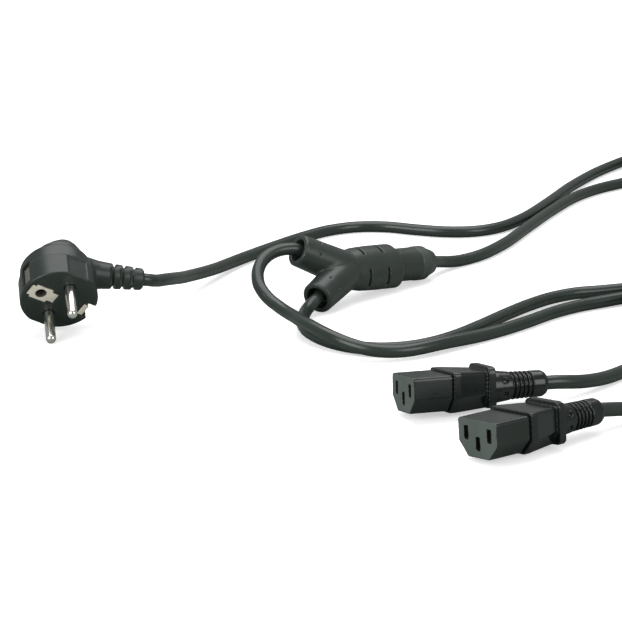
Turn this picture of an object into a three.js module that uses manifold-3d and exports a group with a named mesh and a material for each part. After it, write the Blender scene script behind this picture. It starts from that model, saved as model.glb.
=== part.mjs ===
// Mains power cord splitter: an angled earthed plug, a trunk cord, a moulded
// Y-shaped splitter, two branch cords and two appliance connectors.
// Millimetres, +Z up, everything lies on the plane z = 0. X runs to the right and
// Y runs away as it is usually seen. The origin is on that plane, under the middle
// of the rigid pieces, which are the plug, the splitter and the connectors.

import * as THREE from "three";
import { mergeVertices } from "three/addons/utils/BufferGeometryUtils.js";
import Module from "manifold-3d";

const wasm = await Module();
wasm.setup();

// Sizes that several pieces share
const GAP = 0.3;
const CORD_RADIUS = 3.1;
const CORD_BORE = CORD_RADIUS + GAP;
const CORD_SIDES = 8;
const CORE_RADIUS = 0.9;
const CORE_SIDES = 6;
const CORE_SPREAD = 1.55;
const BEYOND = 1;

// Plug: x along the line of the pins, y towards the earth hole, z out of its face
const PLUG = {
  faceRadius: 18.5,
  smoothDepth: 12.6,
  depth: 22.2,
  backRadius: 17.3,
  pinRadius: 2.4,
  pinSpacing: 19,
  pinReach: 19,
  pinDepth: 12.4,
  tailRadius: 1.6,
  tailDepth: 15,
  faceWall: 2.6,
  cavityDepth: 19,
  carrierDepth: 9.2,
  carrierHalfX: 13.3,
  carrierHalfY: 11.9,
  earthOffset: 10,
  earthHoleRadius: 2.7,
  sleeveRadius: 3.4,
  sleeveDepth: 12,
  sheet: 0.8,
  stripWidth: 6.4,
  stripDepth: 15,
  stripFace: 16.1,
  clipFace: 13.7,
  clipLipEnd: 12,
  channelHalfWidth: 4.4,
  channelFloor: 13.4,
  guideFloor: 17.4,
  guideHalfWidth: 5.5,
  cordDepth: 20,
  cordAngle: 70.3,
  cordStart: 7,
  cordReach: 42.6,
  gripOffset: 6,
  gripLean: 0.18,
  gripFlatness: 0.92,
};
// Strain relief and thumb grip of the plug, as [radius, distance]
const PLUG_RELIEF = [[0, -7], [6, -5.5], [8.6, 0], [9.3, 8], [8.3, 14], [6.9, 20], [6.2, 27], [5.5, 39],
  [5.3, 41.6], [4.3, PLUG.cordReach], [0, PLUG.cordReach]];
const PLUG_GRIP = [[0, 0], [12, 0], [11.4, 3], [9.6, 6.2], [7.2, 8.8], [4.6, 10.6], [2, 11.3], [0, 11.4]];
const PLUG_SLOTS = { rows: [26.3, 31.1, 36.2], stagger: 1.6, width: 1.7, floor: 4.2 };

// Splitter: x along the trunk cord, y towards the upper arm, z out of its upper side
const SPLITTER = {
  armReach: 30.7,
  armAngle: 25.8,
  mouthRadius: 5.6,
  mouthDepth: 7,
  flatness: 0.76,
  neckRadius: 8.5,
  collarRadius: 8.8,
  collarFrom: 47,
  collarTo: 53,
  exitRadius: 6.2,
  reach: 59.3,
  cavityFrom: -9,
  cavityTo: 26,
  cavityHalfWidth: 7,
  cavityHalfHeight: 3.6,
  blockFrom: -1,
  blockTo: 19,
  blockHalfWidth: 6.6,
  blockHalfHeight: 3.2,
  wireBore: 1.75,
  wireSpacing: 4.2,
  crimpFrom: 4,
  crimpTo: 14,
  crimpRadius: 1.4,
  branchCoreRadius: 0.65,
  branchCoreRise: 0.8,
  trunkCordFrom: 28,
  branchCordFrom: 12,
  slotRows: [7, 20],
  slotWidth: 1.3,
  slotFloor: 9.6,
};
const SPLITTER_TRUNK = [[0, -8], [7.2, -8], [10.2, -2], [11.4, 6], [11.7, 16], [11.7, 30.4], [10.5, 32.2],
  [9.2, 32.8], [0, 32.8]];
const SPLITTER_ARM = [[0, -6], [6.4, -6], [8.3, -1], [8.9, 6], [8, 30], [7.4, SPLITTER.armReach],
  [0, SPLITTER.armReach]];

// Connector: x across its face, y from the face backwards, z up
const CONNECTOR = {
  width: 23.6,
  height: 16,
  chamferHeight: 6.2,
  chamferWidth: 5.5,
  cornerRadius: 1.2,
  frontLength: 18,
  step: 1,
  bandLength: 3,
  insertInset: 2.5,
  insertTo: 28,
  waistX: 0.68,
  waistZ: 0.9,
  flangeFrom: 35.5,
  flangeTo: 39,
  flangeWidth: 21,
  flangeHeight: 18,
  flangeMiddle: 9,
  flangeRadius: 2.6,
  reach: 67,
  axisHeight: 8,
  grooveFrom: 49.5,
  grooveStep: 2.1,
  grooveCount: 5,
  grooveWidth: 1.1,
  grooveRadius: 6.2,
  grooveDepth: 1.1,
  capRadius: 5.8,
  windowFrom: 44.2,
  windowTo: 46.8,
  slotWidth: 2.5,
  slotHeight: 5.6,
  slotDepth: 2.4,
  slotSpacing: 7,
  slotRow: 10,
  earthRow: 6,
  pocketTo: 18,
  contactFrom: 2.7,
  contactTo: 15,
  contactWall: 0.5,
  wireBore: 1.4,
  wireFrom: 23,
  cordFrom: 33.6,
};

// Where the rigid pieces lie: by the directions of their own x and y, or by angles
const PLUG_PLACE = { origin: [-110.8, 39, 17.8], x: [0.578, -0.339, 0.742], y: [-0.804, -0.392, 0.447] };
const SPLITTER_PLACE = { origin: [26.1, 104.4, 15.1], x: [0.719, 0.686, -0.11], y: [-0.359, 0.503, 0.786] };
const CONNECTOR_A_PLACE = { origin: [47.5, -84.3, 3.05], lift: -2.25, roll: -10.05, turn: -69.05 };
const CONNECTOR_B_PLACE = { origin: [75.8, -141.1, 2.27], lift: -1.05, roll: -7.39, turn: -52.55 };

// Routes of the cords along the table, chosen by hand, from the piece they leave
const TRUNK_PLUG_ROUTE = [
  [-66.9, 73.2, 18.2], [-62.9, 81.2, 16.6], [-59.4, 91.2, 14.4], [-55.9, 102.7, 11.8], [-51.6, 116.2, 9.3],
  [-46.2, 129.9, 7.2], [-40.6, 143.9, 5.4], [-34.9, 157.5, 4.2], [-29, 169.7, 3.5], [-22.9, 180.2, 3.2],
  [-10.6, 198.1, 3.2], [4.3, 218.1, 3.2], [18.5, 232.9, 3.2], [34, 240.6, 3.2], [49.5, 240.5, 3.2],
  [65.8, 234.1, 3.2], [82, 229.5, 3.2], [97.4, 230.5, 3.2], [111.2, 238.9, 3.2], [126, 259.1, 3.2],
  [142.6, 294.2, 3.2], [160.7, 336.9, 3.2], [178.8, 372.9, 3.2], [189.6, 390.2, 3.3], [204.3, 414.1, 3.9],
];
const TRUNK_SPLITTER_ROUTE = [
  [75, 155.8, 5.8], [80.5, 162.4, 4.1], [86.2, 168, 3.2], [97.3, 179, 3.2], [111.8, 203.3, 3.2],
  [127.8, 240.4, 3.2], [144.7, 279, 3.2], [161.7, 312.5, 3.2], [178, 333.9, 3.2], [194.6, 347.2, 3.8],
  [213.6, 357.7, 6.4], [234.4, 368, 9.8],
];
const BRANCH_A_SPLITTER_ROUTE = [
  [-3.9, 89.6, 29.8], [-7.9, 87.3, 29.6], [-11.9, 84, 28.6], [-15.6, 79.5, 26.2], [-17.7, 73.1, 22.3],
  [-17, 66.6, 18], [-14.4, 61.7, 14.9], [-11.6, 58.4, 12.7], [-7.6, 53.6, 10.9], [-3.6, 47.4, 9.8],
  [0.5, 39.9, 9.5], [4.3, 30.4, 9.7], [8.6, 22.5, 9.8], [14.2, 14.2, 9.1], [19.6, 8.4, 8.2],
  [25.1, 4.3, 7.1], [30.6, 1.6, 6.1], [36.1, 0.1, 5.3], [41.6, -0.2, 4.8], [47.1, 0.6, 4.5],
  [52.7, 2.5, 4.4], [58.3, 5.4, 4.5], [69.8, 13.9, 4.5], [87.5, 29.7, 3.3], [99.6, 40.5, 3.2],
  [112.1, 53.7, 3.2], [125, 68.6, 3.2], [137.8, 80.1, 3.2], [150.5, 88.3, 3.2], [169.3, 98.8, 3.8],
];
const BRANCH_B_SPLITTER_ROUTE = [
  [7.6, 74.1, 5.3], [5.5, 69, 3.8], [4, 54.6, 3.2], [5.4, 42.3, 3.2], [8.6, 32.8, 3.2],
  [14.2, 23.5, 3.2], [19.7, 17.4, 3.2], [25.2, 13.2, 3.2], [30.8, 10.5, 3.2], [36.3, 9, 3.2],
  [41.8, 8.6, 3.2], [53, 11.1, 3.2], [64.4, 18, 3.2], [76.2, 29.7, 3.2], [88.6, 46.1, 3.2],
  [101.4, 64.6, 3.2], [114.5, 82.1, 3.2], [127.5, 95.9, 3.2], [140.3, 104.3, 3.2], [152.7, 108, 3.2],
  [178.6, 116.3, 3.2], [205.6, 121, 3.2], [234.6, 118, 3.2], [259.1, 108.6, 3.4], [286.8, 96.3, 3.9],
];
const BRANCH_A_CONNECTOR_ROUTE = [
  [115.6, -56.6, 7.9], [121.1, -53.6, 7], [127.1, -49.3, 5.8], [133.6, -43.1, 4.6], [140.6, -35.3, 3.6],
  [151.6, -21.8, 3.2], [165.6, -4.3, 3.9], [180.6, 12.7, 6.2], [198.5, 30, 9.8],
];
const BRANCH_B_CONNECTOR_ROUTE = [
  [133.1, -95.9, 8.3], [138.6, -91.7, 7.1], [146.6, -85.1, 5.1], [155.6, -76.8, 3.5], [172.6, -59.3, 3.2],
  [197.6, -36.3, 3.2], [227.6, -14.8, 3.8], [252.6, 1.2, 6.2], [281.9, 18.6, 9.8],
];
const COARSE_STEP = 12;
const FINE_STEP = 10;

// Coils of the lengths put away, each with a band round its turns at an angle
const COIL_LAYERS = 2;
const TRUNK_COIL = { centre: [245.6, 407.7], turnsRadius: 32.5, bandAngle: 20 };
const BRANCH_A_COIL = { centre: [207.5, 73.7], turnsRadius: 36.5, bandAngle: 200 };
const BRANCH_B_COIL = { centre: [292.5, 56.7], turnsRadius: 31, bandAngle: 10 };
const BAND_WIDTH = 7;
const BAND_THICKNESS = 0.8;

const FINISHES = {
  plugPlastic: { color: 0x33383a, roughness: 0.35, metalness: 0 },
  splitterPlastic: { color: 0x3b4140, roughness: 0.5, metalness: 0 },
  connectorPlastic: { color: 0x262b2b, roughness: 0.25, metalness: 0 },
  insertPlastic: { color: 0x454d4b, roughness: 0.5, metalness: 0 },
  innerPlastic: { color: 0xb9b6a8, roughness: 0.5, metalness: 0 },
  nickel: { color: 0xd8d6ce, roughness: 0.15, metalness: 1 },
  paleNickel: { color: 0xcfc8ba, roughness: 0.4, metalness: 1 },
  brass: { color: 0xb8934a, roughness: 0.3, metalness: 1 },
  cordSheath: { color: 0x343a39, roughness: 0.4, metalness: 0 },
  band: { color: 0x1c1e1f, roughness: 0.7, metalness: 0 },
  line: { color: 0x5a3320, roughness: 0.5, metalness: 0 },
  neutral: { color: 0x27509a, roughness: 0.5, metalness: 0 },
  earth: { color: 0x9aa42a, roughness: 0.5, metalness: 0 },
};

// The closed solid of a geometry, turned the right way out
function toSolid(geometry) {
  const bare = geometry.clone();
  bare.deleteAttribute("normal");
  bare.deleteAttribute("uv");
  const merged = mergeVertices(bare, 1e-4);
  const corners = merged.attributes.position;
  const order = merged.index.array;
  const triangles = [];
  const [a, b, c] = [new THREE.Vector3(), new THREE.Vector3(), new THREE.Vector3()];
  let volume = 0;
  for (let i = 0; i < order.length; i += 3) {
    const [p, q, r] = order.slice(i, i + 3);
    if (p === q || q === r || r === p) continue;
    a.fromBufferAttribute(corners, p);
    b.fromBufferAttribute(corners, q);
    c.fromBufferAttribute(corners, r);
    volume += a.dot(b.cross(c));
    triangles.push([p, q, r]);
  }
  const outward = volume < 0 ? triangles.map(([p, q, r]) => [p, r, q]) : triangles;
  return new wasm.Manifold(new wasm.Mesh({
    numProp: 3,
    vertProperties: new Float32Array(corners.array),
    triVerts: new Uint32Array(outward.flat()),
  }));
}

function toMesh(name, solid, look) {
  const { vertProperties, triVerts } = solid.getMesh();
  const geometry = new THREE.BufferGeometry();
  geometry.setAttribute("position", new THREE.BufferAttribute(new Float32Array(vertProperties), 3));
  geometry.setIndex(new THREE.BufferAttribute(new Uint32Array(triVerts), 1));
  geometry.computeVertexNormals();
  const mesh = new THREE.Mesh(geometry, new THREE.MeshStandardMaterial(FINISHES[look]));
  mesh.name = name;
  return mesh;
}

const join = (...solids) => solids.reduce((whole, piece) => whole.add(piece));
const cut = (whole, ...tools) => tools.reduce((rest, tool) => rest.subtract(tool), whole);

// A box between its lowest and its highest corner
function box(low, high) {
  const size = high.map((value, i) => value - low[i]);
  const geometry = new THREE.BoxGeometry(...size);
  geometry.translate(...low.map((value, i) => value + size[i] / 2));
  return toSolid(geometry);
}

// A turned solid: its profile is [radius, height] along an axis from a start point
function turned(profile, start, axis, segments = 24) {
  const geometry = new THREE.LatheGeometry(profile.map(([r, h]) => new THREE.Vector2(r, h)), segments);
  const up = new THREE.Vector3(0, 1, 0);
  const turn = new THREE.Quaternion().setFromUnitVectors(up, new THREE.Vector3(...axis).normalize());
  geometry.applyQuaternion(turn);
  geometry.translate(...start);
  return toSolid(geometry);
}

function rod(radius, from, to, start, axis, segments = 16) {
  return turned([[0, from], [radius, from], [radius, to], [0, to]], start, axis, segments);
}

// A round tube along a smooth curve through points
function tube(points, radius, sides, steps) {
  const corner = (i) => new THREE.Vector2(radius, 0).rotateAround(new THREE.Vector2(), (2 * Math.PI * i) / sides);
  const section = new THREE.Shape(Array.from({ length: sides }, (_, i) => corner(i)));
  const path = new THREE.CatmullRomCurve3(points.map((p) => new THREE.Vector3(...p)), false, "centripetal");
  return toSolid(new THREE.ExtrudeGeometry(section, { steps, bevelEnabled: false, extrudePath: path }));
}

function cordTube(points, step) {
  const path = new THREE.CatmullRomCurve3(points.map((p) => new THREE.Vector3(...p)), false, "centripetal");
  return tube(points, CORD_RADIUS, CORD_SIDES, Math.round(path.getLength() / step));
}

// An outline in x and z carried along y, its far end scaled about the height middle
function prism(outline, from, to, { scaleX = 1, scaleZ = 1, middle = CONNECTOR.axisHeight } = {}) {
  const shape = new THREE.Shape(outline.map(([x, z]) => new THREE.Vector2(x, z)));
  const geometry = new THREE.ExtrudeGeometry(shape, { depth: to - from, bevelEnabled: false });
  const corners = geometry.attributes.position;
  for (let i = 0; i < corners.count; i += 1) {
    const [x, z, y] = [corners.getX(i), corners.getY(i), corners.getZ(i)];
    const far = y > (to - from) / 2;
    corners.setXYZ(i, far ? x * scaleX : x, from + y, far ? middle + (z - middle) * scaleZ : z);
  }
  return toSolid(geometry);
}

// A rectangle with round corners about [0, middle]
function roundedOutline(width, height, radius, middle) {
  const outline = [];
  for (const [sideX, sideZ, start] of [[1, 1, 0], [-1, 1, 90], [-1, -1, 180], [1, -1, 270]]) {
    for (const step of [0, 30, 60, 90]) {
      const angle = THREE.MathUtils.degToRad(start + step);
      const x = sideX * (width / 2 - radius) + radius * Math.cos(angle);
      const z = middle + sideZ * (height / 2 - radius) + radius * Math.sin(angle);
      outline.push([x, z]);
    }
  }
  return outline;
}

// A group that carries a rigid piece to its place
function placed({ origin, x, y, lift, roll, turn }) {
  const group = new THREE.Group();
  group.position.set(...origin);
  if (x) {
    const alongX = new THREE.Vector3(...x).normalize();
    const alongZ = new THREE.Vector3(...y).cross(alongX).normalize().negate();
    const alongY = new THREE.Vector3().crossVectors(alongZ, alongX);
    group.quaternion.setFromRotationMatrix(new THREE.Matrix4().makeBasis(alongX, alongY, alongZ));
  } else {
    const angles = [lift, roll, turn].map(THREE.MathUtils.degToRad);
    group.quaternion.setFromEuler(new THREE.Euler(...angles, "ZXY"));
  }
  group.updateMatrixWorld(true);
  return group;
}

const worldPoints = (group, points) =>
  points.map((point) => new THREE.Vector3(...point).applyMatrix4(group.matrixWorld).toArray());

const FORWARD = [0, 0, 1];
const CORD_ANGLE = THREE.MathUtils.degToRad(PLUG.cordAngle);
const PLUG_CORD = [Math.cos(CORD_ANGLE), -Math.sin(CORD_ANGLE), 0];
const PLUG_ACROSS = [Math.sin(CORD_ANGLE), Math.cos(CORD_ANGLE), 0];

// A point of the plug by its distances along the cord, across it and up from its axis
function byPlugCord(along, across = 0, up = 0) {
  const x = along * PLUG_CORD[0] + across * PLUG_ACROSS[0];
  const y = along * PLUG_CORD[1] + across * PLUG_ACROSS[1];
  return [x, y, up - PLUG.cordDepth];
}

// Thumb grip on the back of the plug, leaning away from the cord
function plugGrip() {
  const geometry = new THREE.LatheGeometry(PLUG_GRIP.map(([r, h]) => new THREE.Vector2(r, h)), 20);
  const corners = geometry.attributes.position;
  for (let i = 0; i < corners.count; i += 1) {
    const [along, height, side] = [corners.getX(i), corners.getY(i), corners.getZ(i)];
    const across = PLUG.gripOffset + side * PLUG.gripFlatness + height * PLUG.gripLean;
    corners.setXYZ(i, ...byPlugCord(along, across, -height));
  }
  return toSolid(geometry);
}

// Flexible tail of the plug with slots that face four ways
function plugRelief() {
  const slots = [];
  const basis = new THREE.Matrix4().makeBasis(
    new THREE.Vector3(...PLUG_CORD), new THREE.Vector3(...PLUG_ACROSS), new THREE.Vector3(...FORWARD));
  for (const row of PLUG_SLOTS.rows) {
    for (const [quarter, shift] of [[0, 0], [2, 0], [1, PLUG_SLOTS.stagger], [3, PLUG_SLOTS.stagger]]) {
      const deep = 4;
      const geometry = new THREE.BoxGeometry(PLUG_SLOTS.width, deep, 4 * deep);
      geometry.translate(0, PLUG_SLOTS.floor + deep / 2, 0);
      geometry.rotateX(Math.PI / 4 + (quarter * Math.PI) / 2);
      geometry.applyMatrix4(basis);
      geometry.translate(...byPlugCord(row + shift));
      slots.push(toSolid(geometry));
    }
  }
  return cut(turned(PLUG_RELIEF, byPlugCord(0), PLUG_CORD, 20), ...slots);
}

function plugOval(halfX, halfY, from, to) {
  const geometry = new THREE.CylinderGeometry(1, 1, from - to, 24);
  geometry.rotateX(Math.PI / 2);
  geometry.scale(halfX, halfY, 1);
  geometry.translate(0, 0, (from + to) / 2);
  return toSolid(geometry);
}

function plugBody() {
  const p = PLUG;
  const edge = 0.6;
  const rim = p.faceRadius + 2;
  const disc = turned([[0, 0], [p.faceRadius - edge, 0], [p.faceRadius, -edge], [p.faceRadius, -p.smoothDepth],
    [p.faceRadius - edge, -p.smoothDepth - edge], [p.backRadius, -p.depth + 2.2], [p.backRadius - 1.5, -p.depth],
    [0, -p.depth]], [0, 0, 0], FORWARD, 36);
  const pocket = -p.sheet - 2 * GAP;
  const half = p.stripWidth / 2 + GAP;
  const coreWell = byPlugCord(4);
  return cut(
    join(disc, plugGrip(), plugRelief()),
    plugOval(p.carrierHalfX + GAP, p.carrierHalfY + GAP, -p.faceWall, -p.cavityDepth),
    ...[-1, 1].map((side) => rod(p.pinRadius + GAP, -p.faceWall - BEYOND, BEYOND,
      [(side * p.pinSpacing) / 2, 0, 0], FORWARD)),
    rod(p.sleeveRadius + GAP, -p.sleeveDepth - 2 * GAP, BEYOND, [0, p.earthOffset, 0], FORWARD),
    rod(6, -23.4, -p.cavityDepth + BEYOND, [coreWell[0], coreWell[1], 0], FORWARD),
    rod(CORD_BORE, p.cordStart - BEYOND, p.cordReach + BEYOND, byPlugCord(0), PLUG_CORD),
    turned([[0, p.cordReach - 5], [CORD_BORE, p.cordReach - 5], [4.1, p.cordReach + BEYOND],
      [0, p.cordReach + BEYOND]], byPlugCord(0), PLUG_CORD),
    // seat of the earth plate, its tongue and the strip at the rim
    box([-4.6, 5.1, pocket], [4.6, 14.5, BEYOND]),
    box([-3.1, 1.6, pocket], [3.1, 5.5, BEYOND]),
    box([-half, 14, pocket], [half, p.stripFace + GAP, BEYOND]),
    box([-half, 14.9, -p.stripDepth - GAP], [half, p.stripFace + GAP, 0]),
    box([-half, 16, -p.stripDepth - GAP], [half, rim, -2.2]),
    // channel and lip seat of the second earth strip
    box([-p.channelHalfWidth, -rim, -p.stripDepth - GAP], [p.channelHalfWidth, -p.channelFloor, BEYOND]),
    box([-half, -14, -p.sheet - GAP], [half, -p.clipLipEnd + GAP, BEYOND]),
    // guide grooves at both ends of the pins' line
    box([p.guideFloor, -p.guideHalfWidth, -p.smoothDepth], [rim, p.guideHalfWidth, BEYOND]),
    box([-rim, -p.guideHalfWidth, -p.smoothDepth], [-p.guideFloor, p.guideHalfWidth, BEYOND]),
  );
}

// Stiff inner block that the pins are moulded into
function plugCarrier() {
  const p = PLUG;
  const front = -p.faceWall - GAP;
  const back = front - p.carrierDepth;
  return cut(
    plugOval(p.carrierHalfX, p.carrierHalfY, front, back),
    ...[-1, 1].map((side) => rod(p.pinRadius + GAP, back - BEYOND, 0, [(side * p.pinSpacing) / 2, 0, 0], FORWARD)),
    rod(p.sleeveRadius + GAP, back - BEYOND, 0, [0, p.earthOffset, 0], FORWARD),
  );
}

function plugPin(side) {
  const p = PLUG;
  const tipSteps = 3;
  const tip = [];
  for (let i = 0; i < tipSteps; i += 1) {
    const angle = (Math.PI / 2) * (i / tipSteps);
    tip.push([p.pinRadius * Math.cos(angle), p.pinReach - p.pinRadius * (1 - Math.sin(angle))]);
  }
  const profile = [[0, -p.tailDepth], [p.tailRadius, -p.tailDepth], [p.tailRadius, -p.pinDepth],
    [p.pinRadius, -p.pinDepth], ...tip, [0, p.pinReach]];
  return turned(profile, [(side * p.pinSpacing) / 2, 0, 0], FORWARD, 16);
}

// Earth sleeve, its plate in the face and the strip bent down at the rim, in one
function plugEarthContact() {
  const p = PLUG;
  const half = p.stripWidth / 2;
  const face = -0.1;
  const back = face - p.sheet;
  const sleeve = [0, p.earthOffset, 0];
  const tail = p.earthOffset - p.sleeveRadius + 0.1;
  const metal = join(
    box([-4.3, 5.4, back], [4.3, 14.2, face]),
    box([-2.8, 1.9, back], [2.8, 6, face]),
    box([-half, 14, back], [half, p.stripFace, face]),
    box([-half, p.stripFace - p.sheet, -p.stripDepth], [half, p.stripFace, face]),
    rod(p.sleeveRadius, -p.sleeveDepth, face, sleeve, FORWARD),
    box([-1, tail, -p.tailDepth], [1, tail + 0.6, -p.sleeveDepth + BEYOND]),
  );
  return metal.subtract(rod(p.earthHoleRadius, -p.tailDepth - BEYOND, BEYOND, sleeve, FORWARD));
}

function plugEarthClip() {
  const p = PLUG;
  const half = p.stripWidth / 2;
  const outer = -p.clipFace - p.sheet;
  const top = 0.4;
  return join(
    box([-half, outer, -p.stripDepth], [half, -p.clipFace, top]),
    box([-half, outer, top - p.sheet], [half, -p.clipLipEnd, top]),
  );
}

// Insulated cores between the backs of the pins and the end of the cord's sheath
function plugCores() {
  const p = PLUG;
  const behind = -p.tailDepth - 2 * GAP;
  const end = p.cordStart - 2 * GAP;
  const routes = {
    line: [[-9.5, 0, behind], [-9.4, -0.1, -16.7], [-7.4, -1.6, -17.6], [-1.6, -3.6, -18.6],
      byPlugCord(end - 2, -CORE_SPREAD, -0.6), byPlugCord(end, -CORE_SPREAD, -0.6)],
    neutral: [[9.5, 0, behind], [9.4, -0.1, -16.7], [7.7, -1.6, -17.6], [4.7, -3, -18.6],
      byPlugCord(end - 2, CORE_SPREAD, -0.6), byPlugCord(end, CORE_SPREAD, -0.6)],
    earth: [[0, 7.1, behind], [0, 7, -16.6], [0.6, 3, -17.5], [1.5, -1, -17.8],
      byPlugCord(end - 2, 0, 1), byPlugCord(end, 0, 1)],
  };
  return Object.entries(routes).map(([name, route]) =>
    toMesh(`plug_core_${name}`, tube(route, CORE_RADIUS, CORE_SIDES, 7), name));
}

function buildPlug() {
  const group = placed(PLUG_PLACE);
  group.add(toMesh("plug_body", plugBody(), "plugPlastic"));
  group.add(toMesh("plug_pin_carrier", plugCarrier(), "innerPlastic"));
  group.add(toMesh("plug_pin_line", plugPin(-1), "nickel"));
  group.add(toMesh("plug_pin_neutral", plugPin(1), "nickel"));
  group.add(toMesh("plug_earth_contact", plugEarthContact(), "paleNickel"));
  group.add(toMesh("plug_earth_clip", plugEarthClip(), "paleNickel"));
  group.add(...plugCores());
  return group;
}

const SIDES = { a: 1, b: -1 };
const WIRES = { line: -1, earth: 0, neutral: 1 };
const ARM_ANGLE = THREE.MathUtils.degToRad(SPLITTER.armAngle);
const armAxis = (side) => [-Math.cos(ARM_ANGLE), side * Math.sin(ARM_ANGLE), 0];

// A point of the splitter by its distance out along an arm, across it and up
function byArm(side, along, across = 0, up = 0) {
  const x = -along * Math.cos(ARM_ANGLE) + across * side * Math.sin(ARM_ANGLE);
  const y = side * along * Math.sin(ARM_ANGLE) + across * Math.cos(ARM_ANGLE);
  return [x, y, up];
}

// A slot round one quarter of the flattened trunk
function splitterSlot(row, sideY, sideZ) {
  const s = SPLITTER;
  const [from, to] = [22, 80].map(THREE.MathUtils.degToRad);
  const arc = new THREE.Shape();
  arc.absarc(0, 0, s.slotFloor + 5, from, to, false);
  arc.absarc(0, 0, s.slotFloor, to, from, true);
  const geometry = new THREE.ExtrudeGeometry(arc, { depth: s.slotWidth, bevelEnabled: false, curveSegments: 3 });
  const corners = geometry.attributes.position;
  for (let i = 0; i < corners.count; i += 1) {
    const [up, side, along] = [corners.getX(i), corners.getY(i), corners.getZ(i)];
    corners.setXYZ(i, row + along, sideY * side, sideZ * up * s.flatness);
  }
  return toSolid(geometry);
}

function splitterBody() {
  const s = SPLITTER;
  const centre = [0, 0, 0];
  const forward = [1, 0, 0];
  const trunk = new THREE.LatheGeometry(SPLITTER_TRUNK.map(([r, h]) => new THREE.Vector2(r, h)), 28);
  trunk.rotateZ(-Math.PI / 2);
  trunk.scale(1, 1, s.flatness);
  const edge = 0.3;
  const neck = turned([[0, 20], [s.neckRadius, 20], [s.neckRadius, s.collarFrom], [s.collarRadius, s.collarFrom],
    [s.collarRadius, s.collarTo], [s.neckRadius - edge, s.collarTo], [s.exitRadius, s.reach], [0, s.reach]],
    centre, forward);
  const [holeRadius, holeFloor, holeTop] = [0.7, 6.9, 12];
  const tools = [
    box([s.cavityFrom, -s.cavityHalfWidth, -s.cavityHalfHeight], [s.cavityTo, s.cavityHalfWidth, s.cavityHalfHeight]),
    rod(CORD_BORE, s.cavityTo - BEYOND, s.reach + BEYOND, centre, forward),
    turned([[0, s.reach - 7], [CORD_BORE, s.reach - 7], [4.6, s.reach + BEYOND], [0, s.reach + BEYOND]],
      centre, forward),
  ];
  for (const side of Object.values(SIDES)) {
    const axis = armAxis(side);
    tools.push(rod(CORD_BORE, s.branchCordFrom - 4, s.armReach, centre, axis));
    tools.push(rod(s.mouthRadius, s.armReach - s.mouthDepth, s.armReach + BEYOND, centre, axis));
    for (const row of s.slotRows) {
      tools.push(splitterSlot(row, side, 1), splitterSlot(row, side, -1));
    }
    for (const start of [byArm(side, 21.5, -3.2), byArm(side, 21.5, 3.2), [0, side * 6.2, 0]]) {
      tools.push(rod(holeRadius, holeFloor, holeTop, start, FORWARD, 6));
    }
  }
  const arms = Object.values(SIDES).map((side) => turned(SPLITTER_ARM, centre, armAxis(side), 20));
  return cut(join(toSolid(trunk), neck, ...arms), ...tools);
}

// Inner block that keeps the three joints apart
function splitterBlock() {
  const s = SPLITTER;
  const bores = Object.values(WIRES).map((row) =>
    rod(s.wireBore, s.blockFrom - BEYOND, s.blockTo + BEYOND, [0, row * s.wireSpacing, 0], [1, 0, 0], 16));
  const [y, z] = [s.blockHalfWidth, s.blockHalfHeight];
  return cut(box([s.blockFrom, -y, -z], [s.blockTo, y, z]), ...bores);
}

function buildSplitter() {
  const s = SPLITTER;
  const group = placed(SPLITTER_PLACE);
  group.add(toMesh("splitter_body", splitterBody(), "splitterPlastic"));
  group.add(toMesh("splitter_block", splitterBlock(), "innerPlastic"));
  for (const [name, row] of Object.entries(WIRES)) {
    const y = row * s.wireSpacing;
    const crimp = rod(s.crimpRadius, s.crimpFrom, s.crimpTo, [0, y, 0], [1, 0, 0], 16);
    group.add(toMesh(`splitter_crimp_${name}`, crimp, "brass"));
    const trunkEnd = row * 2.1;
    const trunkCore = tube([[s.trunkCordFrom - GAP, trunkEnd, 0], [s.trunkCordFrom - 2.5, trunkEnd, 0],
      [s.blockTo + 2.5, y * 0.93, 0], [s.blockTo, y, 0], [s.crimpTo + GAP, y, 0]], CORE_RADIUS, CORE_SIDES, 6);
    group.add(toMesh(`splitter_core_trunk_${name}`, trunkCore, name));
    for (const [letter, side] of Object.entries(SIDES)) {
      const up = side * s.branchCoreRise;
      const across = row * CORE_SPREAD;
      const core = tube([byArm(side, s.branchCordFrom - GAP, across, up), byArm(side, s.branchCordFrom - 2, across, up),
        [s.blockFrom - 1.6, y * 0.95, up], [s.blockFrom + 1.4, y, up], [s.crimpFrom - GAP, y, up]],
        s.branchCoreRadius, CORE_SIDES, 8);
      group.add(toMesh(`splitter_core_${letter}_${name}`, core, name));
    }
  }
  return group;
}

// Outline of the connector's face, made smaller all round by inset
function connectorOutline(inset) {
  const c = CONNECTOR;
  const half = c.width / 2 - inset;
  const [low, high] = [inset, c.height - inset];
  const slant = 0.42 * inset;
  const foot = c.width / 2 - c.chamferWidth - slant;
  const round = c.cornerRadius;
  const right = [[half, c.chamferHeight + slant], [half, high - round], [half - 0.3 * round, high - 0.3 * round],
    [half - round, high]];
  return [[-foot, low], [foot, low], ...right, ...right.map(([x, z]) => [-x, z]).reverse()];
}

const SLOTS = {
  line: [-CONNECTOR.slotSpacing, CONNECTOR.slotRow],
  earth: [0, CONNECTOR.earthRow],
  neutral: [CONNECTOR.slotSpacing, CONNECTOR.slotRow],
};

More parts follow.
